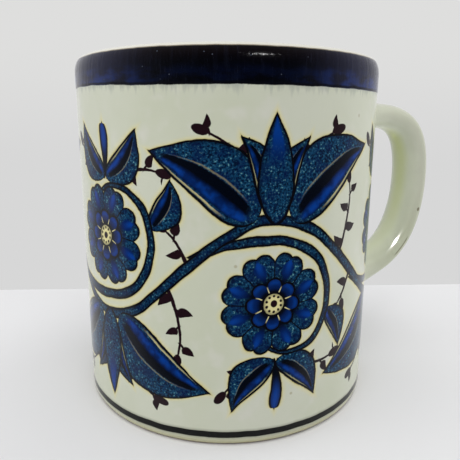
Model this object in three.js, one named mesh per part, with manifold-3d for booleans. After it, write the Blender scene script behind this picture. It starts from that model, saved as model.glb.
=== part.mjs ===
// A faience mug: one turned cup, and a strap handle that was formed by itself and
// stuck to the wall with slip (liquid clay) at both of its roots.
// Millimetres, +Z up. The mug stands on z = 0 with its handle towards +X.

import * as THREE from 'three';
import { mergeVertices } from 'three/addons/utils/BufferGeometryUtils.js';
import Module from 'manifold-3d';

const wasm = await Module();
wasm.setup();

// Cup: the straight wall, the thinned lip and the rounded inside corner.
const cupRadius = 51.5;
const cupHeight = 114.5;
const wallThickness = 4.4;
const lipOuterWidth = 2.4;
const lipOuterDrop = 5;
const lipInnerDrop = 2.6;
const floorThickness = 5.2;
const floorFillet = 9;

// Foot: a flat unglazed ring round a shallow recess, tucked in at the outer edge.
const footRecess = 3;
const footRingWidth = 4.6;
const footTuck = 1.7;
const footShoulder = 3;
const recessFillet = 1.8;

// Handle: the places of its two roots and of its furthest point, and how far each
// end of its curve runs straight on before it bends.
const upperRootBelowRim = 17.5;
const upperRootRun = 17.6;
const upperRootRise = 2.4;
const gripReach = 26.1;
const gripBelowUpperRoot = 23.5;
const gripRunUp = 21.4;
const gripRunDown = 19.4;
const lowerRootHeight = 34.7;
const lowerRootRun = 19.4;
const lowerRootRise = 4.3;

// Strap section: a soft-cornered oval that widens into each root.
const strapWidth = 17.4;
const strapThickness = 9.2;
const rootExtraWidth = 4.4;
const rootExtraThickness = 2.6;
const rootFlareLength = 11;
const cornerSharpness = 0.85;

// Slip joint: the layer between a root and the wall, with the bead that squeezes out.
const slipThickness = 1.2;
const slipBead = 1.3;
const seatGap = 0.3;

// Fineness of the faceted surfaces.
const turnSegments = 96;
const arcDivisions = 3;
const strapSides = 28;
const strapSteps = 46;

// The handle's centreline starts and ends this far inside the wall's outer face,
// so that the wall cuts each root off as a saddle.
const rootDepth = 4;

const glaze = new THREE.MeshStandardMaterial({ color: '#c8cbb8', roughness: 0.22, metalness: 0 });
const glazedSlip = new THREE.MeshStandardMaterial({ color: '#bdbf9f', roughness: 0.26, metalness: 0 });

const innerRadius = cupRadius - wallThickness;
const floorTop = footRecess + floorThickness;
const upperRootHeight = cupHeight - upperRootBelowRim;
const gripHeight = upperRootHeight - gripBelowUpperRoot;

// Revolves a profile (x is the radius, y is the height) about the Z axis.
function turned(profilePoints) {
  return new THREE.LatheGeometry(profilePoints, turnSegments).rotateX(Math.PI / 2);
}

// The cup's half section, from the middle of the underside round the wall and back
// to the middle of the floor.
function cupProfile() {
  const quarter = Math.PI / 2;
  const half = Math.PI;
  const footInner = cupRadius - footTuck - footRingWidth;
  const lipCrown = cupRadius - lipOuterWidth;
  const lipInnerWidth = lipCrown - innerRadius;
  const profile = new THREE.Path();
  profile.moveTo(0, footRecess);
  profile.lineTo(footInner - recessFillet, footRecess);
  profile.absarc(footInner - recessFillet, footRecess - recessFillet, recessFillet, quarter, 0, true);
  profile.lineTo(footInner, 0);
  profile.lineTo(cupRadius - footTuck, 0);
  profile.absellipse(cupRadius - footTuck, footShoulder, footTuck, footShoulder, -quarter, 0, false);
  profile.lineTo(cupRadius, cupHeight - lipOuterDrop);
  profile.absellipse(lipCrown, cupHeight - lipOuterDrop, lipOuterWidth, lipOuterDrop, 0, quarter, false);
  profile.absellipse(lipCrown, cupHeight - lipInnerDrop, lipInnerWidth, lipInnerDrop, quarter, half, false);
  profile.lineTo(innerRadius, floorTop + floorFillet);
  profile.absarc(innerRadius - floorFillet, floorTop + floorFillet, floorFillet, 0, -quarter, true);
  profile.lineTo(0, floorTop);
  return profile.getPoints(arcDivisions);
}

// The handle's centreline: from inside the wall out to the furthest point of the
// grip, and down and back to the lower root.
function handleCentreline() {
  const at = (radius, height) => new THREE.Vector3(radius, 0, height);
  const upperSlope = upperRootRise / upperRootRun;
  const lowerSlope = lowerRootRise / lowerRootRun;
  const upperRoot = at(cupRadius, upperRootHeight);
  const furthest = at(cupRadius + gripReach, gripHeight);
  const lowerRoot = at(cupRadius, lowerRootHeight);
  const upperEnd = at(cupRadius - rootDepth, upperRootHeight - rootDepth * upperSlope);
  const lowerEnd = at(cupRadius - rootDepth, lowerRootHeight - rootDepth * lowerSlope);
  const line = new THREE.CurvePath();
  line.add(new THREE.LineCurve3(upperEnd, upperRoot));
  line.add(new THREE.CubicBezierCurve3(
    upperRoot,
    at(cupRadius + upperRootRun, upperRootHeight + upperRootRise),
    at(cupRadius + gripReach, gripHeight + gripRunUp),
    furthest,
  ));
  line.add(new THREE.CubicBezierCurve3(
    furthest,
    at(cupRadius + gripReach, gripHeight - gripRunDown),
    at(cupRadius + lowerRootRun, lowerRootHeight + lowerRootRise),
    lowerRoot,
  ));
  line.add(new THREE.LineCurve3(lowerRoot, lowerEnd));
  return line;
}

// One ring of the strap at a share of the centreline's length. The strap flares as
// it nears either root. swell widens the ring all round.
function strapRing(centreline, share, swell) {
  const length = centreline.getLength();
  const fromWall = Math.max(0, Math.min(share, 1 - share) * length - rootDepth);
  const flare = Math.max(0, 1 - fromWall / rootFlareLength) ** 2;
  const halfWidth = (strapWidth + rootExtraWidth * flare) / 2 + swell;
  const halfThickness = (strapThickness + rootExtraThickness * flare) / 2 + swell;
  const centre = centreline.getPointAt(share);
  const along = centreline.getTangentAt(share);
  const outward = new THREE.Vector3(along.z, 0, -along.x);
  const ring = [];
  for (let side = 0; side < strapSides; side += 1) {
    const angle = (2 * Math.PI * side) / strapSides;
    const across = halfWidth * soften(Math.sin(angle));
    const through = halfThickness * soften(Math.cos(angle));
    ring.push(centre.clone().addScaledVector(outward, through).setY(across));
  }
  return ring;
}

// Bends a sine or cosine towards a rounded rectangle.
function soften(value) {
  return Math.sign(value) * Math.abs(value) ** cornerSharpness;
}

// A closed skin through a row of equal rings, with a flat cap at each end.
function loft(rings) {
  const sides = rings[0].length;
  const corners = rings.flat();
  const faces = [];
  for (let row = 0; row < rings.length - 1; row += 1) {
    for (let side = 0; side < sides; side += 1) {
      const here = row * sides + side;
      const beside = row * sides + ((side + 1) % sides);
      faces.push(here, beside, here + sides);
      faces.push(beside, beside + sides, here + sides);
    }
  }
  const last = (rings.length - 1) * sides;
  for (let side = 1; side < sides - 1; side += 1) {
    faces.push(0, side + 1, side);
    faces.push(last, last + side, last + side + 1);
  }
  const geometry = new THREE.BufferGeometry().setFromPoints(corners);
  geometry.setIndex(faces);
  return geometry;
}

// The strap from one share of its centreline to another.
function strap(fromShare, toShare, swell) {
  const centreline = handleCentreline();
  const rings = [];
  for (let step = 0; step <= strapSteps; step += 1) {
    const share = fromShare + ((toShare - fromShare) * step) / strapSteps;
    rings.push(strapRing(centreline, share, swell));
  }
  return loft(rings);
}

// Turns a closed geometry into a solid. Triangles that shrink to a line where a
// lathe profile meets the axis are left out.
function solid(geometry) {
  geometry.deleteAttribute('normal');
  geometry.deleteAttribute('uv');
  const merged = mergeVertices(geometry);
  const index = merged.getIndex().array;
  const triangles = [];
  for (let first = 0; first < index.length; first += 3) {
    const [a, b, c] = index.slice(first, first + 3);
    if (a !== b && b !== c && c !== a) {
      triangles.push(a, b, c);
    }
  }
  return new wasm.Manifold(new wasm.Mesh({
    numProp: 3,
    vertProperties: new Float32Array(merged.getAttribute('position').array),
    triVerts: new Uint32Array(triangles),
  }));
}

// Turns a solid back into a geometry that can be drawn.
function geometryOf(shape) {
  const mesh = shape.getMesh();
  const geometry = new THREE.BufferGeometry();
  geometry.setAttribute('position', new THREE.BufferAttribute(mesh.vertProperties, 3));
  geometry.setIndex(new THREE.BufferAttribute(mesh.triVerts, 1));
  geometry.computeVertexNormals();
  return geometry;
}

// The cup's wall grown outwards: everything inside this radius, as a solid core.
function wallCore(radius) {
  return solid(turned([
    new THREE.Vector2(0, 0),
    new THREE.Vector2(radius, 0),
    new THREE.Vector2(radius, cupHeight),
    new THREE.Vector2(0, cupHeight),
  ]));
}

function cupBody() {
  return geometryOf(solid(turned(cupProfile())));
}

// The handle's roots are saddles that leave room for the slip on the wall.
function handle() {
  const cutRadius = cupRadius + seatGap + slipThickness + seatGap;
  return geometryOf(solid(strap(0, 1, 0)).subtract(wallCore(cutRadius)));
}

// A slip joint is a saddle too: a slice of one half of the strap, swollen by the
// bead, between the wall's face and the root's face.
function slipJoint(fromShare, toShare) {
  const innerFace = cupRadius + seatGap;
  const layer = wallCore(innerFace + slipThickness).subtract(wallCore(innerFace));
  return geometryOf(solid(strap(fromShare, toShare, slipBead)).intersect(layer));
}

function mesh(name, geometry, material) {
  const piece = new THREE.Mesh(geometry, material);
  piece.name = name;
  return piece;
}

const halfway = 0.5;
const mug = new THREE.Group();
mug.add(mesh('cup_body', cupBody(), glaze));
mug.add(mesh('handle', handle(), glaze));
mug.add(mesh('upper_slip_joint', slipJoint(0, halfway), glazedSlip));
mug.add(mesh('lower_slip_joint', slipJoint(halfway, 1), glazedSlip));

// Centres the cup and its handle together over the origin.
mug.position.x = -(gripReach + strapThickness / 2) / 2;

export default mug;
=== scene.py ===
import math

import bpy
from mathutils import Matrix, Vector


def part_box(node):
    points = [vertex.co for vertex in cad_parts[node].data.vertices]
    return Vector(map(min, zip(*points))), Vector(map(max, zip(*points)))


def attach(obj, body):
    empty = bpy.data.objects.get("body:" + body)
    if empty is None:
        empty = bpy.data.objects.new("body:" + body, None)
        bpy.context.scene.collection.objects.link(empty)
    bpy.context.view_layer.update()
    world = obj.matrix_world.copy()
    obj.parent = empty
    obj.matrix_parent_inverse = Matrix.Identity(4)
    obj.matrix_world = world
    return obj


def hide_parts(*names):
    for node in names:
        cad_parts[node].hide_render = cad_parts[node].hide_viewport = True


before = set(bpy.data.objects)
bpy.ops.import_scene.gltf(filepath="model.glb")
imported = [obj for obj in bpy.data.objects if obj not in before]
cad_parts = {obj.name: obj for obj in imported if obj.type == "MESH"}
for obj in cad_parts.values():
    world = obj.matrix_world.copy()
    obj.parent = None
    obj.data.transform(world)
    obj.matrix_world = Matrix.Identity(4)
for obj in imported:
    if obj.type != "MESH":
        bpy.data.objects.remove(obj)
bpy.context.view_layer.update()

# The clay cup. One piece of cream earthenware, turned true on the outside, with a
# lip thinned for drinking, a rounded corner inside, and a foot ring round a shallow
# recess underneath. Its outer size and its place come from the frame.
cup_low, cup_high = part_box("cup_body")
cup_axis = (cup_low.x + cup_high.x) / 2
cup_radius = (cup_high.y - cup_low.y) / 2
cup_height = cup_high.z
wall_thickness = 0.0044
lip_outer_width = 0.0024
lip_outer_drop = 0.005
lip_inner_drop = 0.0026
foot_recess = 0.003
foot_ring_width = 0.0046
foot_ring_bevel = 0.0003
foot_tuck = 0.0017
foot_shoulder = 0.003
recess_fillet = 0.0018
floor_thickness = 0.0052
floor_top = foot_recess + floor_thickness
floor_fillet = 0.009
turning_wobble = 0.0014
cup_columns = 360

# The zones of the cup's skin, each with its own finish.
recess_zone, foot_zone, painted_zone, inside_zone = range(4)


def quarter_turn(centre, width, height, start, end, steps):
    """Points of a quarter ellipse in the cup's half section, as (radius, height)."""
    points = []
    for step in range(steps + 1):
        angle = math.radians(start + (end - start) * step / steps)
        points.append((centre[0] + width * math.cos(angle), centre[1] + height * math.sin(angle)))
    return points


def straight(start, end, steps):
    """Points between two corners, without the corners."""
    points = []
    for step in range(1, steps):
        share = step / steps
        points.append((start[0] + (end[0] - start[0]) * share, start[1] + (end[1] - start[1]) * share))
    return points


def cup_half_section():
    """The cup's half section, from the middle of the underside round the wall to the
    middle of the floor, as (radius, height, zone of the skin that follows)."""
    inner = cup_radius - wall_thickness
    crown = cup_radius - lip_outer_width
    past_crown = 96
    foot_inner = cup_radius - foot_tuck - foot_ring_width
    lip_spring = cup_height - lip_outer_drop
    lip_end = cup_height - lip_inner_drop
    flat_end = foot_inner - recess_fillet
    corner = inner - floor_fillet
    recess = [(0, foot_recess)]
    recess += straight((0, foot_recess), (flat_end, foot_recess), 14)
    recess += quarter_turn((flat_end, foot_recess - recess_fillet), recess_fillet, recess_fillet, 90, 0, 8)
    foot = [recess.pop(), (foot_inner, foot_ring_bevel), (foot_inner + foot_ring_bevel, 0)]
    foot.append((foot_inner + foot_ring_width / 2, 0))
    outside = quarter_turn((cup_radius - foot_tuck, foot_shoulder), foot_tuck, foot_shoulder, -90, 0, 12)
    outside += straight((cup_radius, foot_shoulder), (cup_radius, lip_spring), 56)
    outside += quarter_turn((crown, lip_spring), lip_outer_width, lip_outer_drop, 0, 90, 18)
    inside = quarter_turn((crown, lip_end), crown - inner, lip_inner_drop, past_crown, 180, 12)
    inside += straight((inner, lip_end), (inner, floor_top + floor_fillet), 40)
    inside += quarter_turn((corner, floor_top + floor_fillet), floor_fillet, floor_fillet, 0, -90, 16)
    inside += straight((corner, floor_top), (0, floor_top), 14)
    inside.append((0, floor_top))
    zones = (recess_zone, recess), (foot_zone, foot), (painted_zone, outside), (inside_zone, inside)
    return [(radius, height, zone) for zone, points in zones for radius, height in points]


def section_line():
    """The half section as a line of points that each keep their zone."""
    section = cup_half_section()
    line = bpy.data.meshes.new("cup_half_section")
    line.from_pydata([(radius, 0, height) for radius, height, _ in section], [], [])
    kept = line.attributes.new("zone", "INT", "POINT")
    kept.data.foreach_set("value", [zone for _, _, zone in section])
    return line


class Reading:
    """A number, place or colour that changes over the object. A sum of readings writes
    itself as nodes into the tree that they belong to."""

    def __init__(self, socket):
        self.socket = socket
        self.tree = socket.node.id_data

    def __add__(self, other):
        return sum_of("ADD", self, other)

    def __sub__(self, other):
        return sum_of("SUBTRACT", self, other)

    def __rsub__(self, other):
        return sum_of("SUBTRACT", other, self)

    def __mul__(self, other):
        return sum_of("MULTIPLY", self, other)

    def __truediv__(self, other):
        return sum_of("DIVIDE", self, other)

    def __pow__(self, other):
        return sum_of("POWER", self, other)

    def __neg__(self):
        return sum_of("MULTIPLY", self, -1)

    def __abs__(self):
        return sum_of("ABSOLUTE", self)

    __radd__ = __add__
    __rmul__ = __mul__


def feed(socket, value):
    """Gives a socket a reading or a constant value."""
    if isinstance(value, Reading):
        value.tree.links.new(value.socket, socket)
    elif socket.type == "VECTOR" and isinstance(value, (int, float)):
        socket.default_value = (value, value, value)
    else:
        socket.default_value = value


def add_step(tree, kind, inputs, output=0, **settings):
    """Adds a node with its settings, feeds its inputs and gives back one output."""
    node = tree.nodes.new(kind)
    for name, setting in settings.items():
        setattr(node, name, setting)
    for name, value in inputs.items():
        feed(node.inputs[name], value)
    return Reading(node.outputs[output])


def sum_of(operation, *values):
    tree = next(value.tree for value in values if isinstance(value, Reading))
    return add_step(tree, "ShaderNodeMath", dict(enumerate(values)), operation=operation)


def least(first, *others):
    for other in others:
        first = sum_of("MINIMUM", first, other)
    return first


def most(first, *others):
    for other in others:
        first = sum_of("MAXIMUM", first, other)
    return first


def sine(angle):
    return sum_of("SINE", angle)


def cosine(angle):
    return sum_of("COSINE", angle)


def whole(value):
    return sum_of("FLOOR", value)


def parts_of(whole_reading):
    """The x, y and z of a place, or the red, green and blue of a colour."""
    is_colour = whole_reading.socket.type == "RGBA"
    kind = "ShaderNodeSeparateColor" if is_colour else "ShaderNodeSeparateXYZ"
    node = whole_reading.tree.nodes.new(kind)
    feed(node.inputs[0], whole_reading)
    return [Reading(output) for output in node.outputs]


def vector_of(tree, across, along, up=0.0):
    return add_step(tree, "ShaderNodeCombineXYZ", {"X": across, "Y": along, "Z": up})


def moved(spot, direction, distance):
    """The place that far from a spot in a direction."""
    inputs = {0: direction, 1: distance, 2: spot}
    return add_step(spot.tree, "ShaderNodeVectorMath", inputs, operation="MULTIPLY_ADD")


socket_kinds = {
    "value": "NodeSocketFloat", "whole": "NodeSocketInt", "colour": "NodeSocketColor",
    "vector": "NodeSocketVector", "geometry": "NodeSocketGeometry", "material": "NodeSocketMaterial",
    "object": "NodeSocketObject"}


def new_recipe(name, takes, gives, kind="ShaderNodeTree"):
    """A node group, with what it takes as readings and its output node. A number in
    place of a kind is a size, which holds unless another is given."""
    tree = bpy.data.node_groups.new(name, kind)
    for label, taken in takes.items():
        is_size = isinstance(taken, (int, float))
        socket_kind = socket_kinds["value" if is_size else taken]
        socket = tree.interface.new_socket(label, in_out="INPUT", socket_type=socket_kind)
        if is_size:
            socket.default_value = taken
    for label, given in gives.items():
        tree.interface.new_socket(label, in_out="OUTPUT", socket_type=socket_kinds[given])
    source = tree.nodes.new("NodeGroupInput")
    result = tree.nodes.new("NodeGroupOutput")
    return tree, {label: Reading(source.outputs[label]) for label in takes}, result


def new_shape(name, takes):
    """A recipe that makes a mesh."""
    return new_recipe(name, takes, {"Geometry": "geometry"}, "GeometryNodeTree")


def numbers(*labels):
    """What a recipe takes or gives, where it is all plain numbers."""
    return dict.fromkeys(labels, "value")


def give(result, **values):
    """Ends a recipe with what it gives, and hands the recipe over."""
    for label, value in values.items():
        feed(result.inputs[label.capitalize()], value)
    return result.id_data


def follow(recipe, tree, **settings):
    """Uses a recipe in a tree and gives back its outputs as readings, in order."""
    node = tree.nodes.new(tree.bl_idname.replace("Tree", "Group"))
    node.node_tree = recipe
    for label, value in settings.items():
        feed(node.inputs[label.replace("_", " ").capitalize()], value)
    return [Reading(output) for output in node.outputs]


def sheet_to_bend(tree, across, along):
    """A flat sheet of that many points each way, to be bent into shape. Turn and rise
    are a point's shares of the way across and along it, and the map holds them too."""
    node = tree.nodes.new("GeometryNodeMeshGrid")
    for name, value in (("Size X", 1.0), ("Size Y", 1.0), ("Vertices X", across), ("Vertices Y", along)):
        feed(node.inputs[name], value)
    x, y, _ = parts_of(add_step(tree, "GeometryNodeInputPosition", {}))
    return Reading(node.outputs["Mesh"]), Reading(node.outputs["UV Map"]), x + 0.5, y + 0.5


def finish_shape(sheet, place, material):
    """Bends a sheet to its place, closes its seam and its ends, and smooths it."""
    tree = sheet.tree
    bent = add_step(tree, "GeometryNodeSetPosition", {"Geometry": sheet, "Position": place})
    closed = add_step(tree, "GeometryNodeMergeByDistance", {"Geometry": bent, "Distance": 1e-6})
    plain = add_step(tree, "GeometryNodeRealizeInstances", {"Geometry": closed})
    smooth = add_step(tree, "GeometryNodeSetShadeSmooth", {"Geometry": plain})
    return add_step(tree, "GeometryNodeSetMaterial", {"Geometry": smooth, "Material": material})


def keep_on(sheet, name, value, domain, data_type):
    """Stores a value on the corners or faces of a sheet under a name."""
    inputs = {"Geometry": sheet, "Name": name, "Value": value}
    return add_step(
        sheet.tree, "GeometryNodeStoreNamedAttribute", inputs, domain=domain, data_type=data_type)


def turning_recipe():
    """Turns a half section about the cup's axis. Turning by hand leaves a wobble of two
    waves that climb the wall, and there it falls short of a true circle by a share of
    its radius."""
    takes = {
        "Section": "geometry", "Columns": "whole", "Axis": cup_axis, "Height": cup_height,
        "Wobble": turning_wobble, "Painted": "material", "Plain": "material", "Bare": "material"}
    tree, given, result = new_shape("Turned cup", takes)
    section = given["Section"]
    points = add_step(tree, "GeometryNodeAttributeDomainSize", {"Geometry": section}, "Point Count")
    sheet, turned_map, turn, rise = sheet_to_bend(tree, given["Columns"] + 1, points)
    sheet = keep_on(sheet, "turned", turned_map, "CORNER", "FLOAT2")

    def from_section(value, row, data_type):
        inputs = {"Geometry": section, "Value": value, "Index": row}
        return add_step(tree, "GeometryNodeSampleIndex", inputs, data_type=data_type)

    zone = add_step(tree, "GeometryNodeInputNamedAttribute", {"Name": "zone"}, data_type="INT")
    row = rise * (points - 1)
    sheet = keep_on(sheet, "zone", from_section(zone, whole(row), "INT"), "FACE", "INT")

    here = add_step(tree, "GeometryNodeInputPosition", {})
    radius, _, height = parts_of(from_section(here, whole(row + 0.5), "FLOAT_VECTOR"))
    angle = turn * (2 * math.pi)
    share_up = height / given["Height"]
    second_wave = 0.6
    waves = sine(2 * angle + 9 * share_up) + second_wave * sine(5 * angle - 31 * share_up + 1)
    radius = radius * (1 - given["Wobble"] * (0.5 + waves / (2 * (1 + second_wave))))
    place = vector_of(tree, radius * cosine(angle) + given["Axis"], radius * sine(angle), height)
    shape = finish_shape(sheet, place, given["Plain"])
    for label, number in (("Painted", painted_zone), ("Bare", foot_zone)):
        chosen = sum_of("COMPARE", zone, number, 0.5)
        inputs = {"Geometry": shape, "Selection": chosen, "Material": given[label]}
        shape = add_step(tree, "GeometryNodeSetMaterial", inputs)
    return give(result, geometry=shape)


def put_in_scene(name, data):
    thing = bpy.data.objects.new(name, data)
    bpy.context.collection.objects.link(thing)
    return thing


def make_piece(name, recipe, start, settings):
    """Shapes a line, a curve or nothing with a recipe, and keeps the plain mesh, without
    the empty material place that a recipe's mesh starts with."""
    holder = put_in_scene(f"{name}_start", start)
    modifier = holder.modifiers.new(recipe.name, "NODES")
    modifier.node_group = recipe
    for item in recipe.interface.items_tree:
        if item.in_out == "INPUT" and item.name in settings:
            modifier[item.identifier] = settings[item.name]
    graph = bpy.context.evaluated_depsgraph_get()
    mesh = bpy.data.meshes.new_from_object(
        holder.evaluated_get(graph), preserve_all_data_layers=True, depsgraph=graph)
    mesh.name = name
    mesh.materials.pop(index=0)
    holder.modifiers.remove(modifier)
    bpy.data.objects.remove(holder)
    return put_in_scene(name, mesh)


def lay_out_for_baking(mesh):
    """Unrolls the skin for the bake: the painted outside in two long strips of half a
    turn each, then the inside, and the foot and recess in a thin strip."""
    zones = [zone for _, _, zone in cup_half_section()]
    last = len(zones) - 1
    foot_end = zones.index(painted_zone) / last
    lip = zones.index(inside_zone) / last
    # Where each zone starts and ends along the section, and the same for its strip.
    strips = {
        recess_zone: (0, foot_end, 0.93, 0.99),
        foot_zone: (0, foot_end, 0.93, 0.99),
        painted_zone: (foot_end, lip, 0.01, 0.365),
        inside_zone: (lip, 1, 0.75, 0.92)}
    side_margin = 0.003
    second_strip = 0.37
    turned = mesh.uv_layers["turned"].uv
    flat = mesh.uv_layers.new(name="OFBake").uv
    for face, kept in zip(mesh.polygons, mesh.attributes["zone"].data):
        start, end, low, high = strips[kept.value]
        turns = [turned[corner].vector.x for corner in face.loop_indices]
        second_half = kept.value == painted_zone and sum(turns) / len(turns) > 0.5
        for corner in face.loop_indices:
            across, up = turned[corner].vector
            up = low + (up - start) / (end - start) * (high - low)
            if kept.value == painted_zone:
                across = across * 2 - second_half
                up += second_half * second_strip
            flat[corner].vector = (across * (1 - 2 * side_margin) + side_margin, up)


# The glaze. A thick, glossy, faintly green-grey tin glaze covers everything but the
# foot ring. It is greener where it lies thick, and has a few specks of iron.
glaze_roughness = 0.13
glaze_shine = 0.18
glaze_ripple = 0.00006


def length_of(across, up):
    return sum_of("SQRT", across * across + up * up)


def shift(value, low, high, start=0.0, end=1.0, soft=True):
    """Goes from start to end while value goes from low to high, and stays there. A soft
    shift stays there by itself, and a straight one is clamped."""
    inputs = {"Value": value, "From Min": low, "From Max": high, "To Min": start, "To Max": end}
    curve = "SMOOTHSTEP" if soft else "LINEAR"
    return add_step(
        value.tree, "ShaderNodeMapRange", inputs, interpolation_type=curve, clamp=not soft)


def between(value, start, full, fading, end):
    """Rises from 0 to 1 between start and full, and falls again between fading and end."""
    return shift(value, start, full) * shift(value, end, fading)


def mixed(under, top, share):
    """Lays the colour top over the colour under by a share from 0 to 1."""
    inputs = {0: share, 6: under, 7: top}
    return add_step(share.tree, "ShaderNodeMix", inputs, 2, data_type="RGBA")


def noise(position, per_metre, detail=2.0, roughness=0.5, output="Fac"):
    inputs = {"Vector": position, "Scale": per_metre, "Detail": detail, "Roughness": roughness}
    return add_step(position.tree, "ShaderNodeTexNoise", inputs, output)


def cells(position, per_metre, output="Distance"):
    inputs = {"Vector": position, "Scale": per_metre}
    return add_step(position.tree, "ShaderNodeTexVoronoi", inputs, output)


def object_position(tree):
    return add_step(tree, "ShaderNodeTexCoord", {}, "Object")


def coated(colour, *coats):
    """Lays coats over a colour in turn, each a colour with its share from 0 to 1."""
    for top, share in coats:
        colour = mixed(colour, top, share)
    return colour


def specks(position, per_metre, rarity, outer, inner, part=0):
    """1 on a few round specks and 0 beside them."""
    few = shift(parts_of(cells(position, per_metre, "Color"))[part], rarity, rarity + 0.005)
    return few * shift(cells(position, per_metre), outer, inner)


def paint(red, green, blue):
    """A colour as it is seen, from 0 to 255, as the light that a surface gives back."""
    light = []
    for part in (red, green, blue):
        part /= 255
        light.append(part / 12.92 if part <= 0.04045 else ((part + 0.055) / 1.055) ** 2.4)
    return (*light, 1.0)


thin_glaze = paint(219, 217, 207)


def celadon_recipe():
    """The glaze's colour, clouded and specked, and the height of its ripples."""
    tree, _, result = new_recipe("Celadon glaze", {}, {"Colour": "colour", "Height": "value"})
    position = object_position(tree)
    clouds = noise(position, 38, 3.0)
    thick = noise(position, 140, 2.0)
    colour = coated(
        paint(200, 203, 187),
        (paint(195, 199, 179), shift(clouds, 0.35, 0.7)),
        (paint(204, 205, 193), shift(thick, 0.52, 0.8)),
        (paint(150, 140, 105), specks(position, 230, 0.955, 0.16, 0.08) * 0.55))
    height = noise(position, 210, 1.0) * 0.7 + noise(position, 900, 1.0) * 0.08
    return give(result, colour=colour, height=height)


celadon = celadon_recipe()


def new_finish(name):
    material = bpy.data.materials.new(name)
    material.use_nodes = True
    return material, material.node_tree


def lay_finish(tree, colour, height, depth=glaze_ripple, roughness=glaze_roughness, shine=glaze_shine):
    """Gives a finish its colour, and a surface as uneven, rough and shiny as that."""
    uneven = add_step(tree, "ShaderNodeBump", {"Distance": depth, "Height": height}, "Normal")
    surface = {"Base Color": colour, "Roughness": roughness, "Specular IOR Level": shine, "Normal": uneven}
    for name, value in surface.items():
        feed(tree.nodes["Principled BSDF"].inputs[name], value)


def plain_glaze():
    """The inside and the recess. Over the lip the glaze runs thin and pale."""
    material, tree = new_finish("plain_glaze")
    glaze, height = follow(celadon, tree)
    up = parts_of(object_position(tree))[2] / cup_height
    lay_finish(tree, mixed(glaze, thin_glaze, shift(up, 0.965, 0.99)), height)
    return material


def bare_clay():
    """The foot ring, wiped clean of glaze so that it doesn't stick to the kiln shelf:
    cream-buff, fine and matt, with grit and toasted patches."""
    material, tree = new_finish("bare_clay")
    position = object_position(tree)
    grain = noise(position, 2600, 3.0, 0.7)
    patches = noise(position, 90, 2.0)
    colour = coated(
        paint(214, 198, 168),
        (paint(186, 164, 128), shift(grain, 0.35, 0.75)),
        (paint(158, 128, 92), shift(patches, 0.58, 0.8) * 0.6))
    lay_finish(tree, colour, grain, depth=0.00012, roughness=0.82, shine=0.5)
    return material


# The painted frieze. Brushed by hand under the glaze: a winding stem with a rosette
# in each bend and a spray of leaves and a tulip on each crest, in mottled blue-green
# and cobalt, outlined in black, with sprigs of berries in manganese purple.
frieze_repeats = 6
frieze_middle = 53.0
bend_width = 2 * math.pi * cup_radius * 1000 / frieze_repeats
half_bend = bend_width / 2
stem_swing = 16.0
stem_half_width = 1.3
branch_radius = 18.6
spray_up = 16
rosette_up = -8.5
rosette_petals = 8
rosette_reach = 15.4
inner_petal_reach = 7.8
eye_reach = 3.3
eye_dots = 10
eye_dot_ring = 2.2
berry_every = 5.3
berry_size = 2.9
berry_lean = math.radians(48)
berry_stem_half_width = 0.34
hand_sway = 1.6
hand_tremble = 0.22
outline = 0.31
brush_edge = 0.09
far_off = 20.0

ink = paint(8, 9, 16)
cobalt = paint(5, 55, 134)
thin_cobalt = paint(3, 32, 86)
deep_blue = paint(3, 7, 18)
ochre = paint(212, 204, 148)
manganese = paint(30, 14, 21)


def turned_over(count):
    """1 for an even count and -1 for an odd one."""
    return 1 - 2 * sum_of("PINGPONG", count, 1.0)


def place_recipe():
    """Where a point lies beside a motif that stands once in every bend, and turns
    over from one bend to the next. Lean is how far its middle is from its base.
    Millimetres."""
    takes = numbers("Round", "Rise", "At", "Up", "Turn", "Lean")
    _, given, result = new_recipe("Motif place", takes, numbers("X", "Y"))
    from_motif = given["Round"] - given["At"]
    bend = whole((from_motif - given["Lean"]) / bend_width + 0.5)
    x = from_motif - bend * bend_width
    y = turned_over(bend) * given["Rise"] - given["Up"]
    turn_cosine, turn_sine = cosine(given["Turn"]), sine(given["Turn"])
    return give(result, x=x * turn_cosine + y * turn_sine, y=y * turn_cosine - x * turn_sine)


def leaf_recipe():
    """A leaf along X from its base, bowed to one side. Base and Tip say how sharp its
    ends are. Edge is the distance to its outline, Along goes from 0 to 1, and Across
    from -1 to 1."""
    takes = numbers("X", "Y", "Length", "Width", "Bow", "Base", "Tip")
    _, given, result = new_recipe("Painted leaf", takes, numbers("Edge", "Along", "Across"))
    base, tip = given["Base"], given["Tip"]
    widest = base / (base + tip)
    peak = (widest ** base) * ((1 - widest) ** tip)
    along = shift(given["X"], 0.0, given["Length"], soft=False)
    rest = 1 - along
    across = given["Y"] - given["Bow"] * 4 * along * rest
    half_width = given["Width"] * (along ** base) * (rest ** tip) / peak
    beyond = most(given["X"] - given["Length"], 0) * 0.5 + most(-given["X"], 0)
    edge = abs(across) - half_width + beyond
    return give(result, edge=edge, along=along, across=across / most(half_width, 0.05))


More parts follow.
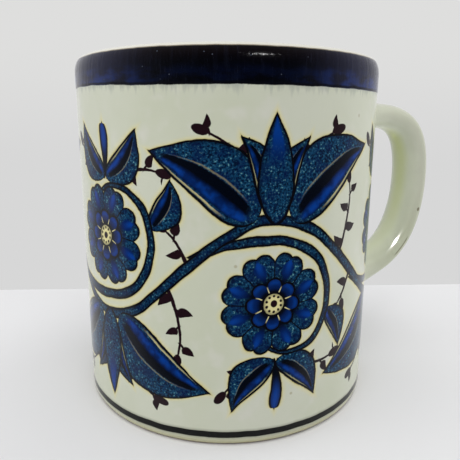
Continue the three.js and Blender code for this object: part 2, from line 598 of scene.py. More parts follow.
def leaf_colour_recipe():
    """One half of a leaf is mottled, and the other holds a cobalt stroke that goes
    black beside the vein, with a thin strip left bare along its outer side."""
    takes = {"Along": "value", "Across": "value", "Mottle": "colour"}
    tree, given, result = new_recipe("Leaf colour", takes, {"Colour": "colour"})
    side, along = -given["Across"], given["Along"]
    stroke = between(side, -0.05, 0.03, 0.76, 0.82) * between(along, 0.04, 0.12, 0.86, 0.94)
    bright = between(side, 0.3, 0.6, 0.64, 0.84)
    brushing = noise(object_position(tree), 330, 2.0)
    stroke_colour = mixed(deep_blue, mixed(cobalt, thin_cobalt, shift(brushing, 0.35, 0.65)), bright)
    bare = between(side, 0.84, 0.87, 0.91, 0.94) * between(along, 0.22, 0.42, 0.74, 0.9)
    vein = shift(abs(side + 0.06), 0.045, 0.01) * between(along, 0.1, 0.3, 0.6, 0.9)
    colour = coated(
        given["Mottle"], (stroke_colour, stroke), (paint(168, 156, 102), vein * 0.36), (ochre, bare * 0.8))
    return give(result, colour=colour)


def brushed_recipe():
    """Lays one outlined shape over the shapes that are there already. Its paint runs
    together and goes darker beside the outline."""
    takes = {"Paint": "colour", "Edge": "value", "New edge": "value", "New colour": "colour", "Line": "value"}
    _, given, result = new_recipe("Painted shape", takes, {"Paint": "colour", "Edge": "value"})
    new_edge = given["New edge"]
    pooled = mixed(given["New colour"], deep_blue, shift(new_edge, -1.5, -0.2) * 0.55)
    colour = mixed(given["Paint"], pooled, shift(new_edge, brush_edge, -brush_edge))
    line = shift(abs(new_edge) - given["Line"], brush_edge, -brush_edge)
    return give(result, paint=mixed(colour, ink, line), edge=least(given["Edge"], new_edge))


def sprig_recipe():
    """A bent stalk from the origin along X, with a berry on each side in turn and a bud
    at its end. A berry is narrower towards its tip, and smaller towards the bud."""
    _, given, result = new_recipe("Berry sprig", numbers("X", "Y", "Bend", "Length"), numbers("Edge"))
    bend, length = given["Bend"], given["Length"]
    from_centre = bend - given["Y"]
    aside = bend - length_of(given["X"], from_centre)
    along = sum_of("ARCTAN2", given["X"], from_centre) * bend
    outside = most(-along, along - length)
    stalk = most(abs(aside) - shift(along, 0.0, length, 0.6, 0.3, soft=False), outside)
    pair = whole(along / berry_every)
    within = along - (pair + 0.5) * berry_every
    outward = turned_over(pair) * aside
    reach = berry_size * 1.3
    x = (within * math.cos(berry_lean) + outward * math.sin(berry_lean) - reach) / (berry_size * 1.15)
    y = outward * math.cos(berry_lean) - within * math.sin(berry_lean)
    plump = berry_size * 0.62
    narrowed = plump * (1 - 0.35 * shift(x, -1.0, 1.0, -1.0, 1.0, soft=False))
    ripeness = shift(along, 0.0, length, 1.05, 0.68, soft=False)
    berry = (length_of(x, y / narrowed) - ripeness) * plump
    stem = most(abs(y) - berry_stem_half_width, x, -1.3 - x)
    berries = most(least(berry, stem), 0.35 * berry_every - along, along - length - 0.3 * berry_every)
    bud = (length_of((along - length - 1.4) / (berry_size * 1.1), aside / (berry_size * 0.6)) - 0.8) * plump
    return give(result, edge=least(stalk, berries, bud))


motif_place, painted_leaf, leaf_colour = place_recipe(), leaf_recipe(), leaf_colour_recipe()
brushed_shape, berry_sprig = brushed_recipe(), sprig_recipe()


class Frieze:
    """The wall unrolled to millimetres round and up, and all that is brushed on it so
    far: its paint, and the distance to the nearest edge. A hand sways and trembles."""

    def __init__(self, tree):
        self.tree = tree
        position = object_position(tree)
        x, y, z = parts_of(position)
        sway_round, sway_rise, _ = parts_of(noise(position, 95, 1.0, output="Color"))
        tremble = (noise(position, 900, 1.0) - 0.5) * hand_tremble
        angle = sum_of("ARCTAN2", y, x - cup_axis)
        self.round_wall = angle * (cup_radius * 1000) + (sway_round - 0.5) * hand_sway + tremble
        self.rise = z * 1000 - frieze_middle + (sway_rise - 0.5) * hand_sway + tremble

        grain = noise(position, 1500, 2.0, 0.65)
        wash = noise(position, 260, 2.0)
        self.mottle = coated(
            paint(4, 18, 42),
            (paint(18, 66, 100), shift(grain, 0.36, 0.6)),
            (paint(100, 154, 154), shift(grain, 0.6, 0.72)),
            (paint(5, 24, 66), shift(wash, 0.44, 0.64) * 0.65))
        self.pressure = outline * (0.7 + 0.7 * noise(position, 320, 1.0))
        self.painted, self.edge = ink, far_off

    def place(self, at, up, turn, lean=0.0):
        """The X and Y of a motif that stands at and up there, turned by that many degrees."""
        return follow(
            motif_place, self.tree, round=self.round_wall, rise=self.rise, at=at, up=up,
            turn=math.radians(turn), lean=lean)

    def leaf(self, x, y, length, width, bow, base=0.62, tip=1.0):
        return follow(
            painted_leaf, self.tree, x=x, y=y, length=length, width=width, bow=bow, base=base, tip=tip)

    def brush(self, new_edge, new_colour):
        self.painted, self.edge = follow(
            brushed_shape, self.tree, paint=self.painted, edge=self.edge, new_edge=new_edge,
            new_colour=new_colour, line=self.pressure)

    def brush_leaf(self, at, up, turn, length, width, bow, side=1):
        x, y = self.place(at, up, turn, length / 2 * math.cos(math.radians(turn)))
        leaf_edge, along, across = self.leaf(x, y * side, length, width, bow)
        colour, = follow(leaf_colour, self.tree, along=along, across=across, mottle=self.mottle)
        self.brush(leaf_edge, colour)


def brush_hanging_leaves(frieze):
    """Three leaves and a thin tongue that hang under the rosette."""
    x, y = frieze.place(half_bend + 1, rosette_up - 17, -90)
    tongue_edge, along, _ = frieze.leaf(x, y, 16.0, 1.7, 0.6, base=1.1, tip=0.3)
    frieze.brush(tongue_edge, mixed(deep_blue, cobalt, shift(along, 0.3, 0.75)))
    frieze.brush_leaf(half_bend + 19, rosette_up - 4, -66, 15, 4.2, 2.2)
    frieze.brush_leaf(half_bend + 0.5, rosette_up - 17, -128, 20, 5.0, 3.0, -1)
    frieze.brush_leaf(half_bend + 2, rosette_up - 17, -48, 19, 4.8, 3.0)


def brush_branch(frieze, x, y):
    """The branch that leaves the stem, curls round the rosette and thins to its tip."""
    tip, leaves_stem, joins_stem = -95, 85, 150
    out = length_of(x, y)
    turn = sum_of("ARCTAN2", y, x) * (180 / math.pi)
    turn = turn + 360 * sum_of("LESS_THAN", turn, -120)
    into_stem = most(turn - leaves_stem, 0) ** 2
    under_rosette = most(-25 - turn, 0) ** 2
    radius = branch_radius + 0.0019 * into_stem - 0.0011 * under_rosette
    half_width = shift(turn, tip, 25, 0.55, 1.2, soft=False)
    ends = most((tip - turn) * 0.3, (turn - joins_stem) * 0.45)
    frieze.brush(most(abs(out - radius) - half_width, ends), frieze.mottle)


def brush_stem(frieze):
    """The winding stem, as wide on its slopes as on its crests."""
    bend = whole(frieze.round_wall / bend_width)
    through = frieze.round_wall / bend_width - bend
    flipped = turned_over(bend) * frieze.rise
    height = stem_swing * sine(through * math.pi)
    slope = (stem_swing * math.pi / bend_width) * cosine(through * math.pi)
    steepness = sum_of("SQRT", 1 + slope * slope)
    frieze.brush(abs((flipped - height) / steepness) - stem_half_width, frieze.mottle)


def brush_spray(frieze):
    """Two broad leaves and two upright ones on a crest, with a tulip bud between them."""
    frieze.brush_leaf(half_bend + 5, spray_up, 33, 36, 9.0, 5.0)
    frieze.brush_leaf(half_bend - 5, spray_up, 149, 35, 8.8, 4.6, -1)
    frieze.brush_leaf(half_bend, spray_up - 1, 113, 25, 4.6, 3.2, -1)
    frieze.brush_leaf(half_bend, spray_up - 1, 67, 25, 4.6, 3.2)
    x, y = frieze.place(half_bend, spray_up - 1, 90)
    bud_edge, along, across = frieze.leaf(x, y, 29.0, 5.0, 0.0, base=0.6, tip=0.95)
    blush = shift(along, 0.4, 0.8) * shift(abs(across), 0.7, 0.35)
    bud_blue = mixed(thin_cobalt, cobalt, shift(along, 0.5, 0.95))
    frieze.brush(bud_edge, mixed(frieze.mottle, bud_blue, blush))


def brush_rosette(frieze, x, y):
    """Two rings of petals round a dotted eye. Each outer petal has a blue tongue."""
    out = length_of(x, y)
    turn = sum_of("ARCTAN2", y, x) / (2 * math.pi)
    petal_angle = math.pi / rosette_petals

    def from_petal(offset):
        """0 along the middle of a petal and 1 between two petals."""
        return abs(sum_of("FRACT", turn * rosette_petals + offset + 2 * rosette_petals) - 0.5) * 2

    outer = from_petal(0.0)
    aside = outer * petal_angle * out
    seam = (1 - outer) * petal_angle * out
    outer_edge = out - (rosette_reach - 2.9 * outer ** 3 - 1.0 * (1 - outer) ** 4)
    tongue = between(out, 6, 11, 11.5, 14)
    tongue_colour = mixed(thin_cobalt, cobalt, shift(out, 8.5, 12.5) * shift(aside, 1.3, 0.2))
    colour = mixed(frieze.mottle, tongue_colour, shift(aside - 1.6 * tongue, 0.5, -0.3))
    colour = mixed(deep_blue, colour, shift(out, 6.5, 9.8))
    frieze.brush(outer_edge, mixed(colour, ink, shift(seam, 0.26, 0.08)))

    inner = from_petal(0.5)
    inner_seam = (1 - inner) * petal_angle * out
    inner_edge = out - (inner_petal_reach - 2.1 * inner ** 2.5)
    inner_colour = mixed(deep_blue, mixed(thin_cobalt, cobalt, shift(out, 5.4, 7.0)), shift(out, 3.6, 5.6))
    frieze.brush(inner_edge, mixed(inner_colour, ochre, shift(inner_seam, 0.22, 0.06)))

    dot_spacing = 2 * math.pi * eye_dot_ring / eye_dots
    dot_round = (sum_of("FRACT", turn * eye_dots + 2 * eye_dots) - 0.5) * dot_spacing
    dot = length_of(dot_round, out - eye_dot_ring)
    dots = most(shift(dot, 0.48, 0.32), shift(out, 1.08, 0.92))
    frieze.brush(out - eye_reach, mixed(ochre, manganese, dots))


def nearest_sprig(frieze):
    """The distance to the edge of the nearest of the six berry sprigs in a bend."""
    sprigs = far_off
    for at, up, turn, bend_radius, length, side in (
            (-4.5, -3.2, -58, 30, 23, -1),
            (2.5, 3.0, 108, 22, 12, 1),
            (half_bend + 5, 26, 66, 26, 20, -1),
            (half_bend - 5, 26, 114, 26, 20, 1),
            (half_bend - 1, rosette_up - 19.5, 190, 24, 16, 1),
            (half_bend + 9, rosette_up - 20, -14, 26, 13, 1)):
        x, y = frieze.place(at, up, turn)
        sprig, = follow(berry_sprig, frieze.tree, x=x, y=y * side, bend=bend_radius, length=length)
        sprigs = least(sprig, sprigs)
    return sprigs


def frieze_recipe():
    gives = {"Paint": "colour", "Edge": "value", "Sprigs": "value"}
    tree, _, result = new_recipe("Painted frieze", {}, gives)
    frieze = Frieze(tree)
    brush_hanging_leaves(frieze)
    x, y = frieze.place(half_bend, rosette_up, 0)
    brush_branch(frieze, x, y)
    brush_stem(frieze)
    brush_spray(frieze)
    brush_rosette(frieze, x, y)
    return give(result, paint=frieze.painted, edge=frieze.edge, sprigs=nearest_sprig(frieze))


def lay_frieze(glaze, height, painted, edge, sprigs):
    """The frieze on its glaze, with an ochre halo where the iron in its paint bled."""
    spread = 0.4 + 1.3 * height
    return coated(
        glaze,
        (ochre, shift(edge, 2.1, 0.1) * 0.75 * spread),
        (paint(176, 162, 90), shift(edge, 0.8, 0.3) * 0.6 * spread),
        (manganese, shift(sprigs, brush_edge, -brush_edge)),
        (painted, shift(edge, outline + brush_edge, outline - brush_edge)))


# The banded rim and foot. The rim is dipped in cobalt and manganese, which runs a
# little down the wall in the firing, and a single line is turned round the foot.
band_low = 104.05
band_high = 113.5
band_lift = 0.9
band_blur = 0.12
# Turns the painted reflection on the band so that it lies at the camera's left and right.
sheen_sides_turn = 3.66
foot_line_middle = 3.9
foot_line_half_width = 1.02


class DippedWall:
    """Where a point lies on the wall, in millimetres up and as an angle, with noises
    that are drawn out up and down the wall."""

    def __init__(self, tree):
        self.tree = tree
        self.position = object_position(tree)
        x, y, self.height = parts_of(self.position)
        self.up = self.height * 1000
        self.angle = sum_of("ARCTAN2", y, x - cup_axis)
        drawn_out = self.as_unit_circle(2.5)
        self.streaks = noise(drawn_out, 150, 2.0, 0.6)
        self.slow = noise(drawn_out, 9, 2.0)
        self.runs = noise(drawn_out, 36, 2.0, 0.6)

    def as_unit_circle(self, rise):
        """The place on a wall of radius 1, with its height times rise."""
        return vector_of(self.tree, cosine(self.angle), sine(self.angle), self.height * rise)


def band_colours(wall, lower_edge):
    """Blue-black, with cobalt in its lower half, pale streaks, a few flecks, and a darker bead
    along the lower edge. Towards its left and right sides as the camera sees them it is paler,
    with more cobalt and streaks showing: a painted reflection."""
    share_up = (wall.up - band_low) / (band_high - band_low)
    blots = noise(wall.as_unit_circle(40), 8, 3.0)
    # A painted reflection: 1 at the band's left and right as the camera sees them, 0 at its front and back.
    side_sheen = shift(cosine(wall.angle * 2 + sheen_sides_turn), 0.85, -0.2)
    blue = shift(blots, 0.36, 0.66) * shift(share_up, 0.62, 0.32) * (0.06 + 0.94 * side_sheen)
    bead = shift(abs(wall.up - lower_edge - 0.4), 0.6, 0.1)
    return coated(
        paint(4, 5, 10),
        (paint(18, 47, 112), blue),
        (paint(11, 6, 9), shift(share_up, 0.5, 0.98)),
        (paint(66, 68, 98), side_sheen * 0.32),
        (paint(44, 50, 72), shift(wall.runs, 0.5, 0.8) * (0.08 + 0.3 * side_sheen)),
        (paint(50, 52, 72), shift(wall.streaks, 0.56, 0.8) * (0.12 + 0.4 * side_sheen)),
        (ink, bead * 0.85),
        (paint(66, 72, 84), specks(wall.position, 1300, 0.98, 0.28, 0.15, part=1)))


def dip_rim(wall, colour):
    """The wall with its rim dipped, and where the band is. The dip ends a little higher
    on the side away from the handle. Above it the glaze is thin, with a toasted line."""
    lower_edge = band_low - 0.45 + wall.slow * 0.6 + wall.streaks * 0.25
    lower_edge = lower_edge + band_lift * shift(cosine(wall.angle), -0.6, -1.0)
    upper_edge = band_high - 0.15 + wall.slow * 0.3
    run_length = 1.0 + 3.4 * shift(wall.runs, 0.4, 0.8)
    run = shift(wall.up, lower_edge - run_length, lower_edge)
    run = run * shift(wall.runs, 0.3, 0.6) * (0.15 + 0.6 * wall.streaks)
    band = band_colours(wall, lower_edge)
    in_band = between(
        wall.up, lower_edge - band_blur, lower_edge + band_blur,
        upper_edge - band_blur, upper_edge + band_blur)
    toasted = shift(abs(wall.up - upper_edge - 0.08), 0.2, 0.05)
    colour = coated(
        colour,
        (paint(142, 148, 144), run),
        (thin_glaze, shift(wall.up, upper_edge, upper_edge + 0.3)),
        (paint(120, 98, 68), toasted * 0.75),
        (band, in_band))
    return colour, in_band


def line_foot(wall, colour):
    """The wall with the line round its foot, and where the glaze ends below that."""
    from_line = abs(wall.up - (foot_line_middle + (wall.slow - 0.5) * 0.5))
    line = shift(from_line, foot_line_half_width + band_blur, foot_line_half_width - band_blur)
    line_stain = shift(from_line, foot_line_half_width + 1.0, foot_line_half_width)
    line_colour = mixed(paint(5, 6, 5), paint(18, 22, 26), shift(wall.streaks, 0.5, 0.8))
    glaze_end = shift(wall.up, 0.75 + wall.slow * 0.4, 0.25 + wall.slow * 0.3)
    colour = coated(
        colour,
        (paint(180, 176, 132), shift(wall.up, 3.4, 1.2) * 0.65),
        (paint(128, 130, 112), line_stain * 0.5),
        (line_colour, line),
        (paint(120, 98, 62), glaze_end))
    return colour, glaze_end


def painted_glaze():
    """The outside, with the frieze, the rim and the foot laid on in turn."""
    material, tree = new_finish("painted_glaze")
    painted, edge, sprigs = follow(frieze_recipe(), tree)
    glaze, height = follow(celadon, tree)
    colour = lay_frieze(glaze, height, painted, edge, sprigs)
    wall = DippedWall(tree)
    colour, in_band = dip_rim(wall, colour)
    colour, glaze_end = line_foot(wall, colour)
    height = height + in_band * (0.5 * wall.streaks + 1.6 * wall.runs)
    lay_finish(tree, colour, height, roughness=glaze_roughness + 0.55 * glaze_end)
    return material


finishes = {"Painted": painted_glaze(), "Plain": plain_glaze(), "Bare": bare_clay()}
cup = make_piece("cup", turning_recipe(), section_line(), {"Columns": cup_columns, **finishes})
lay_out_for_baking(cup.data)
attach(cup, "root")
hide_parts("cup_body")

# The handle. A strap of the same clay, pulled and bent by itself and stuck on when
# both were leather-hard. It is a soft-cornered oval that widens into each root.
upper_root = Vector((cup_axis + cup_radius, 0, 0.097))
upper_run = Vector((0.0176, 0, 0.0024))
furthest = Vector((cup_axis + cup_radius + 0.0261, 0, 0.0735))
grip_run_up = Vector((0, 0, 0.0214))
grip_run_down = Vector((0, 0, -0.0194))
lower_root = Vector((cup_axis + cup_radius, 0, 0.0347))
lower_run = Vector((0.0194, 0, 0.0043))
strap_width = 0.0174
strap_thickness = 0.0092
root_extra_width = 0.0044
root_extra_thickness = 0.0026
root_flare_length = 0.011
corner_sharpness = 0.85
root_depth = 0.0015
strap_sides = 72
strap_rows = 153
path_fineness = 160
pulled_unevenness = 0.00022
even_near_wall = 0.02


def handle_path():
    """The middle of the strap as a curve, from inside the wall at the top to inside it
    at the bottom."""
    start = upper_root - upper_run.normalized() * root_depth
    end = lower_root - lower_run.normalized() * root_depth
    stations = (
        (start, start, start.lerp(upper_root, 0.3)),
        (upper_root, upper_root.lerp(start, 0.3), upper_root + upper_run),
        (furthest, furthest + grip_run_up, furthest + grip_run_down),
        (lower_root, lower_root + lower_run, lower_root.lerp(end, 0.3)),
        (end, end.lerp(lower_root, 0.3), end))
    path = bpy.data.curves.new("handle_path", "CURVE")
    path.dimensions = "3D"
    spline = path.splines.new("BEZIER")
    spline.resolution_u = path_fineness
    spline.bezier_points.add(len(stations) - 1)
    for point, (place, pull_in, pull_out) in zip(spline.bezier_points, stations):
        point.handle_left_type = "FREE"
        point.handle_right_type = "FREE"
        point.co = place
        point.handle_left = pull_in
        point.handle_right = pull_out
    return path


def strap_section_recipe():
    """How far the strap's skin lies from its middle line, across and outwards, at a
    share of the turn round it and at a distance from the wall."""
    takes = {
        "Turn": "value", "From wall": "value", "Width": strap_width, "Thickness": strap_thickness,
        "Root width": root_extra_width, "Root thickness": root_extra_thickness,
        "Flare length": root_flare_length, "Sharpness": corner_sharpness}
    _, given, result = new_recipe("Strap section", takes, numbers("Across", "Outwards"), "GeometryNodeTree")
    flare = most(1 - most(given["From wall"], 0) / given["Flare length"], 0) ** 2
    angle = given["Turn"] * (-2 * math.pi)

    def soften(value):
        return sum_of("SIGN", value) * abs(value) ** given["Sharpness"]

    half_width = (given["Width"] + given["Root width"] * flare) / 2
    half_thickness = (given["Thickness"] + given["Root thickness"] * flare) / 2
    return give(
        result, across=half_width * soften(sine(angle)), outwards=half_thickness * soften(cosine(angle)))


strap_section = strap_section_recipe()


def strap_recipe():
    """Bends a sheet round a path. Its first and last rows shrink to a point, which
    closes both ends. Pulling by hand leaves the strap a little uneven."""
    takes = {
        "Path": "geometry", "Sides": "whole", "Rows": "whole", "Root depth": root_depth,
        "Unevenness": pulled_unevenness, "Glaze": "material"}
    tree, given, result = new_shape("Pulled strap", takes)
    sheet, strap_map, turn, rise = sheet_to_bend(tree, given["Sides"] + 1, given["Rows"])
    sheet = keep_on(sheet, "strap", strap_map, "CORNER", "FLOAT2")
    row = rise * (given["Rows"] - 1)
    share = least(most((row - 1) / (given["Rows"] - 3), 0), 1)
    open_row = sum_of("GREATER_THAN", least(row, given["Rows"] - 1 - row), 0.5)

    sampled = tree.nodes.new("GeometryNodeSampleCurve")
    feed(sampled.inputs["Curves"], given["Path"])
    feed(sampled.inputs["Factor"], share)
    middle = Reading(sampled.outputs["Position"])
    run_x, _, run_z = parts_of(Reading(sampled.outputs["Tangent"]))
    length = add_step(tree, "GeometryNodeCurveLength", {"Curve": given["Path"]})
    from_wall = least(share, 1 - share) * length - given["Root depth"]
    across, outwards = follow(strap_section, tree, turn=turn, from_wall=from_wall)
    uneven = (noise(middle, 55, 1.0) - 0.5) * given["Unevenness"] * least(from_wall / even_near_wall, 1)
    outwards = outwards + uneven
    place = moved(middle, vector_of(tree, -run_z, 0.0, run_x), outwards * open_row)
    place = moved(place, (0.0, 1.0, 0.0), across * open_row)
    return give(result, geometry=finish_shape(sheet, place, given["Glaze"]))


# A short line and a dot on one side of the strap are scars where it touched something
# in the kiln. Their places are shares of the way round the strap and along it.
strap_girth = 44
strap_length = 112
scars_around = 0.222
line_scar_along = 0.745
dot_scar_along = 0.582


def handle_glaze():
    """The glaze pools along the inside of the bend. Its light and shade are partly painted in:
    lighter on the inner face and its pool and towards both roots, darker and greener on the
    lower strap. Scars in millimetres.
    """
    material, tree = new_finish("strap_glaze")
    glaze, height = follow(celadon, tree)
    around, along, _ = parts_of(add_step(tree, "ShaderNodeUVMap", {}, "UV", uv_map="strap"))
    waver = noise(object_position(tree), 120, 2.0)
    # Painted light: the inner face is painted paler against the shade between strap and wall.
    inner = shift(abs(around - 0.5) + (waver - 0.5) * 0.05, 0.27, 0.03)
    # The glaze pool is real, and its colour is painted paler than it is, as painted light on the shaded inner
    # face.
    pool = shift(abs(around - 0.495) + (waver - 0.5) * 0.04, 0.11, 0.0)
    pool = pool * shift(along, 0.04, 0.26, 0.45) * shift(along, 0.95, 0.25, 0.1)
    # Painted shade: the lower strap, away from the inner face, is painted darker and greener.
    painted_lower_shade = between(along, 0.45, 0.7, 0.75, 1.0) * (1 - inner * inner)
    # Painted light: the outer glaze is painted lighter towards both roots than at the middle of the bend.
    outer = mixed(paint(190, 192, 175), paint(208, 211, 192), shift(abs(along - 0.45), 0.15, 0.45))
    from_line = abs(around - scars_around + (waver - 0.5) * 0.03) * strap_girth
    line = shift(from_line, 0.6, 0.25) * shift(abs(along - line_scar_along), 0.055, 0.03)
    from_dot = length_of((around - scars_around) * strap_girth, (along - dot_scar_along) * strap_length)
    scars = most(line * 0.75, shift(from_dot, 1.1, 0.6))
    colour = coated(
        glaze,
        (outer, 0.65 + 0.2 * waver),
        (paint(241, 246, 225), inner),
        (paint(170, 178, 142), painted_lower_shade * 0.35),
        (paint(230, 238, 160), pool * (0.42 + 0.55 * waver)),
        (paint(96, 88, 62), scars * 0.85))
    lay_finish(tree, colour, height)
    return material


handle = make_piece(
    "handle_strap", strap_recipe(), handle_path(),
    {"Sides": strap_sides, "Rows": strap_rows, "Glaze": handle_glaze()})
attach(handle, "root")
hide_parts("handle")

# The slip joints. Liquid clay glues each root to the wall, and the bead that squeezes
# out is wiped with a finger into a hollow fillet, which then takes the same glaze.
fillet_size = 0.0024
fillet_sunk = 0.0005
fillet_heel = 0.2
fillet_steps = 9
look_from = 0.005
look_as_far_as = 0.02


def fillet_recipe():
    """A closed ring round one root: a hollow quarter curve between wall and strap,
    with its back sunk into both. It finds the wall by looking along the root."""
    takes = {
        "Wall": "object", "Root": "vector", "Run": "vector", "Sides": "whole", "Steps": "whole",
        "Size": fillet_size, "Sunk": fillet_sunk, "Glaze": "material"}
    tree, given, result = new_shape("Wiped slip", takes)
    steps, run, size, sunk = given["Steps"], given["Run"], given["Size"], given["Sunk"]
    sheet, _, turn, rise = sheet_to_bend(tree, given["Sides"] + 1, steps + 5)
    row = whole(rise * (steps + 4) + 0.5)
    wall = add_step(tree, "GeometryNodeObjectInfo", {"Object": given["Wall"]}, "Geometry")
    run_x, _, run_z = parts_of(run)
    outward = vector_of(tree, run_z, 0.0, -run_x)

    def beside(spot, from_wall):
        """The strap's skin beside a spot on its middle line."""
        across, outwards = follow(strap_section, tree, turn=turn, from_wall=from_wall)
        return moved(moved(spot, outward, outwards), (0.0, 1.0, 0.0), across)

    def nearest_on_wall(spot):
        inputs = {"Geometry": wall, "Sample Position": spot}
        return add_step(tree, "GeometryNodeProximity", inputs, "Position", target_element="FACES")

    foot = add_step(tree, "GeometryNodeRaycast", {
        "Target Geometry": wall, "Source Position": beside(moved(given["Root"], run, look_from), 0.0),
        "Ray Direction": moved(vector_of(tree, 0.0, 0.0, 0.0), run, -1.0),
        "Ray Length": look_as_far_as}, "Hit Position")
    full, narrowed = beside(given["Root"], 0.0), beside(moved(given["Root"], run, size), size)
    climb = moved(narrowed, full, -1.0)
    shoulder = moved(foot, climb, 1.0)
    from_middle = moved(full, given["Root"], -1.0)
    away = add_step(tree, "ShaderNodeVectorMath", {0: from_middle}, operation="NORMALIZE")

    bend = least(row / steps, 1) * (math.pi / 2)
    hollow = nearest_on_wall(moved(foot, away, size * (1 - cosine(bend))))
    place = moved(hollow, climb, 1 - sine(bend))
    back = (
        moved(moved(hollow, away, size * -fillet_heel), run, -sunk),
        moved(moved(foot, away, -sunk), run, -sunk),
        moved(shoulder, away, -sunk),
        shoulder)
    for number, spot in enumerate(back, 1):
        inputs = {0: sum_of("COMPARE", row - steps, number, 0.5), 4: place, 5: spot}
        place = add_step(tree, "ShaderNodeMix", inputs, 1, data_type="VECTOR")
    return give(result, geometry=finish_shape(sheet, place, given["Glaze"]))


def slip_glaze():
    material, tree = new_finish("fillet_glaze")
    glaze, height = follow(celadon, tree)
    waver = noise(object_position(tree), 160, 2.0)
    lay_finish(tree, mixed(glaze, paint(186, 191, 164), shift(waver, 0.3, 0.7) * 0.5), height)
    return material


wiped_slip = fillet_recipe()
joint_glaze = slip_glaze()
for joint_name, root, run in (("upper", upper_root, upper_run), ("lower", lower_root, lower_run)):
    fillet = make_piece(f"{joint_name}_slip_fillet", wiped_slip, bpy.data.meshes.new("slip"), {
        "Wall": cup, "Root": root[:], "Run": run.normalized()[:], "Sides": strap_sides,
        "Steps": fillet_steps, "Glaze": joint_glaze})
    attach(fillet, "root")
    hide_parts(f"{joint_name}_slip_joint")

# The stand. A sheet of pale card lies under the mug. It ends a hand's width behind
# the mug, where an even pale surround takes over. Its front part lies in the shade of
# whoever stands there, and so it looks dark in the glaze.
handle_turn = math.radians(15)
sheet_half_width = 0.6
sheet_front = 0.4
lit_front = 0.054
sheet_back = 0.09
sheet_skew = math.radians(2.6)


def from_front(across, back, up):
    """A place measured from the cup's axis as the camera sees it: to its right, away
    from it, and up."""
    turned_x = across * math.cos(handle_turn) + back * math.sin(handle_turn)
    turned_y = back * math.cos(handle_turn) - across * math.sin(handle_turn)
    return Vector((cup_axis + turned_x, turned_y, up))


def make_sheet():
    mesh = bpy.data.meshes.new("table_sheet")
    slope = math.tan(sheet_skew) * sheet_half_width
    corners = (
        from_front(-sheet_half_width, -sheet_front, 0),
        from_front(sheet_half_width, -sheet_front, 0),
        from_front(sheet_half_width, sheet_back + slope, 0),
        from_front(-sheet_half_width, sheet_back - slope, 0))
    mesh.from_pydata(corners, [], [(0, 1, 2, 3)])
    return mesh


def sheet_finish():
    material, tree = new_finish("pale_card")
    position = object_position(tree)
    x, y, _ = parts_of(position)
    back = y * math.cos(handle_turn) + (x - cup_axis) * math.sin(handle_turn)
    mirrored = add_step(tree, "ShaderNodeLightPath", {}, "Is Glossy Ray")
    colour = coated(
        paint(227, 227, 229),
        (paint(226, 226, 228), shift(back, 0.03, 0.085)),
        (paint(60, 60, 62), mirrored * shift(back, -lit_front, -lit_front - 0.03)))
    lay_finish(tree, colour, noise(position, 400, 2.0), depth=0.00003, roughness=0.8, shine=0.1)
    return material


sheet = put_in_scene("table_sheet", make_sheet())
sheet.data.materials.append(sheet_finish())

# The light. A pale surround lights the mug evenly, and looks dark from in front, as
# the room behind a camera does. A broad lamp hangs above, two soft ones stand at the
# sides, and two small ones above the camera glint on the handle's bend and the rim.
surround_light = 0.66
mirrored_behind = 0.82
mirrored_above = 0.14
spark_beam = math.radians(9)
soft_beam = math.radians(180)


def make_surround():
    world = bpy.data.worlds.new("surround")
    bpy.context.scene.world = world
    world.use_nodes = True
    tree = world.node_tree
    background = tree.nodes["Background"]
    path = tree.nodes.new("ShaderNodeLightPath")
    seen_by = {kind: Reading(path.outputs[f"Is {kind} Ray"]) for kind in ("Camera", "Glossy", "Transmission")}
    x, y, z = parts_of(add_step(tree, "ShaderNodeTexCoord", {}, "Generated"))
    dark_side = from_front(0.2, -1, 0) - from_front(0, 0, 0)
    dark_side.normalize()
    facing = x * dark_side.x + y * dark_side.y
    mirrored = mirrored_behind * ((0.5 - 0.5 * facing) ** 1.25) + mirrored_above * shift(z, 0.35, 0.9)
    seen = mixed(paint(215, 215, 215), paint(222, 222, 221), shift(z, -0.1, 0.15))
    lit = (surround_light, surround_light, surround_light * 0.99, 1)
    level = vector_of(tree, mirrored, mirrored, mirrored * 1.02)
    colour = mixed(lit, level, most(seen_by["Glossy"], seen_by["Transmission"]))
    feed(background.inputs["Color"], mixed(colour, seen, seen_by["Camera"]))


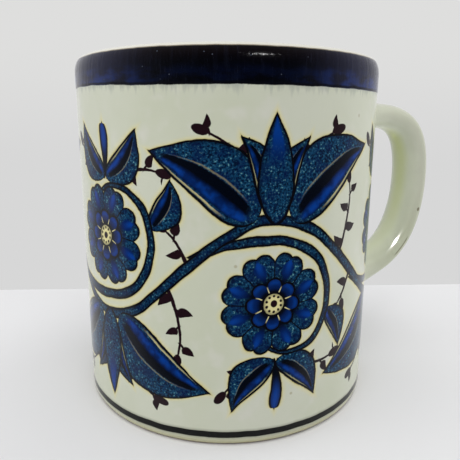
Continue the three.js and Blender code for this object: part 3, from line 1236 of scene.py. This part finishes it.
def make_lamp(name, place, target, width, height, watts, is_spark=False):
    """A soft lamp lights the mug without a reflection of its own. A spark is only a
    reflection in the glaze, and has a narrow beam."""
    lamp = bpy.data.lights.new(name, "AREA")
    lamp.shape = "RECTANGLE"
    lamp.size = width
    lamp.size_y = height
    lamp.energy = watts
    lamp.spread = spark_beam if is_spark else soft_beam
    holder = put_in_scene(name, lamp)
    holder.location = place
    holder.rotation_mode = "QUATERNION"
    holder.rotation_quaternion = (target - place).to_track_quat("-Z", "Y")
    holder.visible_glossy = is_spark
    holder.visible_diffuse = not is_spark
    holder.visible_camera = False


make_surround()
mug_middle = from_front(0, 0, cup_height / 2)
handle_bend = from_front(0.068, 0.011, 0.047)
rim_front = from_front(0.0088, -0.0506, 0.1113)
make_lamp("soft_top", from_front(0.0, -0.5, 1.3), mug_middle, 1.2, 1.2, 8.1)
make_lamp("soft_left", from_front(-1.2, -0.15, 0.35), mug_middle, 0.9, 0.9, 4.1)
make_lamp("soft_right", from_front(1.06, 0.56, 0.13), mug_middle, 0.9, 0.9, 9.3)
make_lamp("spark", from_front(-0.0147, -0.179, 0.187), handle_bend, 0.035, 0.035, 0.055, True)
make_lamp("rim_spark", from_front(0.084, -0.2088, 0.2086), rim_front, 0.016, 0.004, 0.00017, True)

# The camera stands a little above the middle of the mug, close to it, and looks down
# by about 13 degrees, with the handle turned 15 degrees back from the right.
view_distance = 3.4147 * cup_radius
view_height = 1.8353 * cup_radius
view_pitch = 0.2219
view_yaw = 0.0073
view_roll = 0.0051
focal_pixels = 474.4
frame_pixels = 460


def make_camera():
    lens = bpy.data.cameras.new("camera")
    lens.sensor_width = 36
    lens.lens = focal_pixels / frame_pixels * lens.sensor_width
    lens.clip_start = 0.01
    camera = put_in_scene("camera", lens)
    turn = Matrix.Rotation(-handle_turn, 3, "Z")
    forward = Vector((math.sin(view_yaw) * math.cos(view_pitch),
                      math.cos(view_yaw) * math.cos(view_pitch), -math.sin(view_pitch)))
    right = Vector((math.cos(view_yaw), -math.sin(view_yaw), 0))
    up = right.cross(forward)
    rolled_right = right * math.cos(view_roll) + up * math.sin(view_roll)
    rolled_up = up * math.cos(view_roll) - right * math.sin(view_roll)
    axes = Matrix((turn @ rolled_right, turn @ rolled_up, turn @ -forward)).transposed()
    camera.matrix_world = Matrix.Translation(from_front(0, -view_distance, view_height)) @ axes.to_4x4()
    bpy.context.scene.camera = camera


make_camera()
bpy.context.scene.view_settings.view_transform = "Standard"
